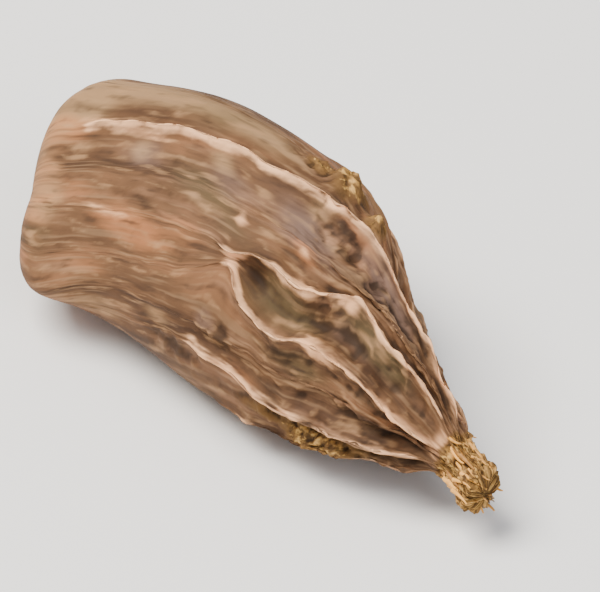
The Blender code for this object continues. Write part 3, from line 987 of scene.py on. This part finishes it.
spine = add_node(
    fibre_tree,
    "GeometryNodeCurveQuadraticBezier",
    {"Resolution": 6, "Start": ends[0], "Middle": ends[1], "End": ends[2]},
)
along = add_node(fibre_tree, "GeometryNodeSplineParameter").outputs["Factor"]
taper = add_node(fibre_tree, "ShaderNodeMapRange", {"Value": along, "To Min": 1.0, "To Max": 0.25})
girth = add_node(
    fibre_tree, "ShaderNodeMath", {0: taper, 1: fibre_input.outputs["Fibre radius"]}, operation="MULTIPLY"
)
section = add_node(fibre_tree, "GeometryNodeCurvePrimitiveCircle", {"Resolution": 6, "Radius": 1.0})
one_fibre = add_node(
    fibre_tree,
    "GeometryNodeCurveToMesh",
    {"Curve": spine, "Profile Curve": section, "Scale": girth, "Fill Caps": True},
)
print("sizes of a fibre:", {name: round(value, 5) for name, value in fibre_sizes.items()})

# %% [markdown]
# The fibres stand on the stub, which is where the mark called stub is 1. Each leans along the stalk, a
# little out from it, so the bundle splays at its torn end.

# %% Plant the fibres
stub_mark = add_node(fibre_tree, "GeometryNodeInputNamedAttribute", {"Name": "stub"}, data_type="FLOAT")
on_stub = add_node(
    fibre_tree, "FunctionNodeCompare", {0: stub_mark, 1: 0.98}, data_type="FLOAT", operation="GREATER_THAN"
)
roots = add_node(
    fibre_tree,
    "GeometryNodeDistributePointsOnFaces",
    {
        "Mesh": fibre_input.outputs["Geometry"],
        "Selection": on_stub,
        "Distance Min": fibre_input.outputs["Fibre spacing"],
        "Density Max": 4e7,
        "Seed": fibre_input.outputs["Seed"],
    },
    distribute_method="POISSON",
)
splayed = add_node(
    fibre_tree,
    "ShaderNodeVectorMath",
    {0: roots.outputs["Normal"], "Scale": fibre_input.outputs["Splay"]},
    operation="SCALE",
)
lean = add_node(
    fibre_tree, "ShaderNodeVectorMath", {0: splayed, 1: (1.0, 0.0, -0.18)}, operation="ADD"
)
upright = add_node(fibre_tree, "FunctionNodeAlignRotationToVector", {"Vector": lean}, axis="Z")
spin = add_node(
    fibre_tree,
    "FunctionNodeRandomValue",
    {"Min": (0.0, 0.0, 0.0), "Max": (0.0, 0.0, 2 * math.pi), "Seed": 1},
    data_type="FLOAT_VECTOR",
)
turned = add_node(
    fibre_tree, "FunctionNodeRotateRotation", {0: upright, 1: spin}, rotation_space="LOCAL"
)
size = add_node(fibre_tree, "FunctionNodeRandomValue", {2: 0.35, 3: 1.35, "Seed": 2}, data_type="FLOAT")
planted = add_node(
    fibre_tree,
    "GeometryNodeInstanceOnPoints",
    {"Points": roots.outputs["Points"], "Instance": one_fibre, "Rotation": turned, "Scale": size},
)
chance = add_node(fibre_tree, "FunctionNodeRandomValue", {2: 0.0, 3: 0.6, "Seed": 3}, data_type="FLOAT")
planted = add_node(
    fibre_tree,
    "GeometryNodeStoreNamedAttribute",
    {"Geometry": planted, "Name": "tint", "Value": chance},
    data_type="FLOAT",
    domain="INSTANCE",
)
planted = add_node(fibre_tree, "GeometryNodeRealizeInstances", {"Geometry": planted})
planted = add_node(fibre_tree, "GeometryNodeSetMaterial", {"Geometry": planted, "Material": fibre_finish})
add_node(fibre_tree, "NodeGroupOutput", {"Geometry": planted})
stalk_strands = grow("stalk_strands", husk.data.copy(), fibre_tree, fibre_sizes, fibre_ids)

# %% [markdown]
# ## Onto the imported part
#
# Both pieces ride on the part's one body. The husk stands for the imported pod, which isn't shown.

# %% Ride on the frame
for piece in (husk, stalk_strands):
    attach(piece, "root")
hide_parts("pod")

# %% [markdown]
# ## The stage
#
# The pod lies on a plain, nearly white table under soft studio light: a broad window-like light from the
# upper left, a weak one from the lower right to open the shadows, and a pale room all round.

# %% Table and room
table_finish = bpy.data.materials.new("matte_white_card")
table_finish.use_nodes = True
table_shader = table_finish.node_tree.nodes["Principled BSDF"]
table_shader.inputs["Base Color"].default_value = linear("#f4f3f1")
table_shader.inputs["Roughness"].default_value = 0.9
TABLE_SIDE = 3.0
half = TABLE_SIDE / 2
table_mesh = bpy.data.meshes.new("table")
corners = [(-half, -half, 0.0), (half, -half, 0.0), (half, half, 0.0), (-half, half, 0.0)]
table_mesh.from_pydata(corners, [], [(0, 1, 2, 3)])
table_mesh.materials.append(table_finish)
table = bpy.data.objects.new("table", table_mesh)
bpy.context.scene.collection.objects.link(table)
room = bpy.data.worlds.new("pale_room")
room.use_nodes = True
room.node_tree.nodes["Background"].inputs["Color"].default_value = linear("#f2f4f8")
room.node_tree.nodes["Background"].inputs["Strength"].default_value = 0.53
bpy.context.scene.world = room
print("table:", TABLE_SIDE, "m a side")

# %% [markdown]
# The camera looks from the front right and above, as the photograph does, and is tipped a little. Its lens
# is long, so the pod keeps its proportions.

# %% Camera
AZIMUTH = math.radians(42)
ELEVATION = math.radians(38)
TIP = math.radians(4)
CAMERA_DISTANCE = 0.60
AIM = Vector((0.4 * MM, 0.55 * MM, 5.8 * MM))
level = Vector((math.cos(AZIMUTH), math.sin(AZIMUTH), 0.0))
sideways = Vector((math.sin(AZIMUTH), -math.cos(AZIMUTH), 0.0))
towards = sideways * math.cos(ELEVATION) + Vector((0.0, 0.0, math.sin(ELEVATION)))
upwards = towards.cross(level)
to_the_right = level * math.cos(TIP) + upwards * math.sin(TIP)
to_the_top = upwards * math.cos(TIP) - level * math.sin(TIP)
camera = bpy.data.objects.new("camera", bpy.data.cameras.new("camera"))
camera.data.lens = 660
camera.data.clip_end = 10
turn_to_view = Matrix((to_the_right, to_the_top, towards)).transposed()
camera.matrix_world = Matrix.Translation(AIM + CAMERA_DISTANCE * towards) @ turn_to_view.to_4x4()
bpy.context.scene.collection.objects.link(camera)
bpy.context.scene.camera = camera
print("camera at:", [round(c, 3) for c in camera.location])

# %% [markdown]
# A light is placed by its direction, as azimuth and elevation, and points at the pod. Its size against its
# distance makes the shadows soft.

# %% Lights


def soft_light(name, azimuth, elevation, distance, side, power, hex_colour):
    """A square studio light, which points at the pod."""
    a, e = math.radians(azimuth), math.radians(elevation)
    direction = Vector((math.sin(a) * math.cos(e), -math.cos(a) * math.cos(e), math.sin(e)))
    lamp = bpy.data.lights.new(name, "AREA")
    lamp.size = side
    lamp.energy = power
    lamp.color = linear(hex_colour)[:3]
    light = bpy.data.objects.new(name, lamp)
    light.location = AIM + distance * direction
    light.rotation_euler = direction.to_track_quat("Z", "Y").to_euler()
    bpy.context.scene.collection.objects.link(light)
    return light


soft_light("broad_key", -35, 62, 0.50, 0.30, 5.4, "#fffaf2")
soft_light("low_fill", 75, 40, 0.60, 0.40, 1.65, "#f2f6ff")
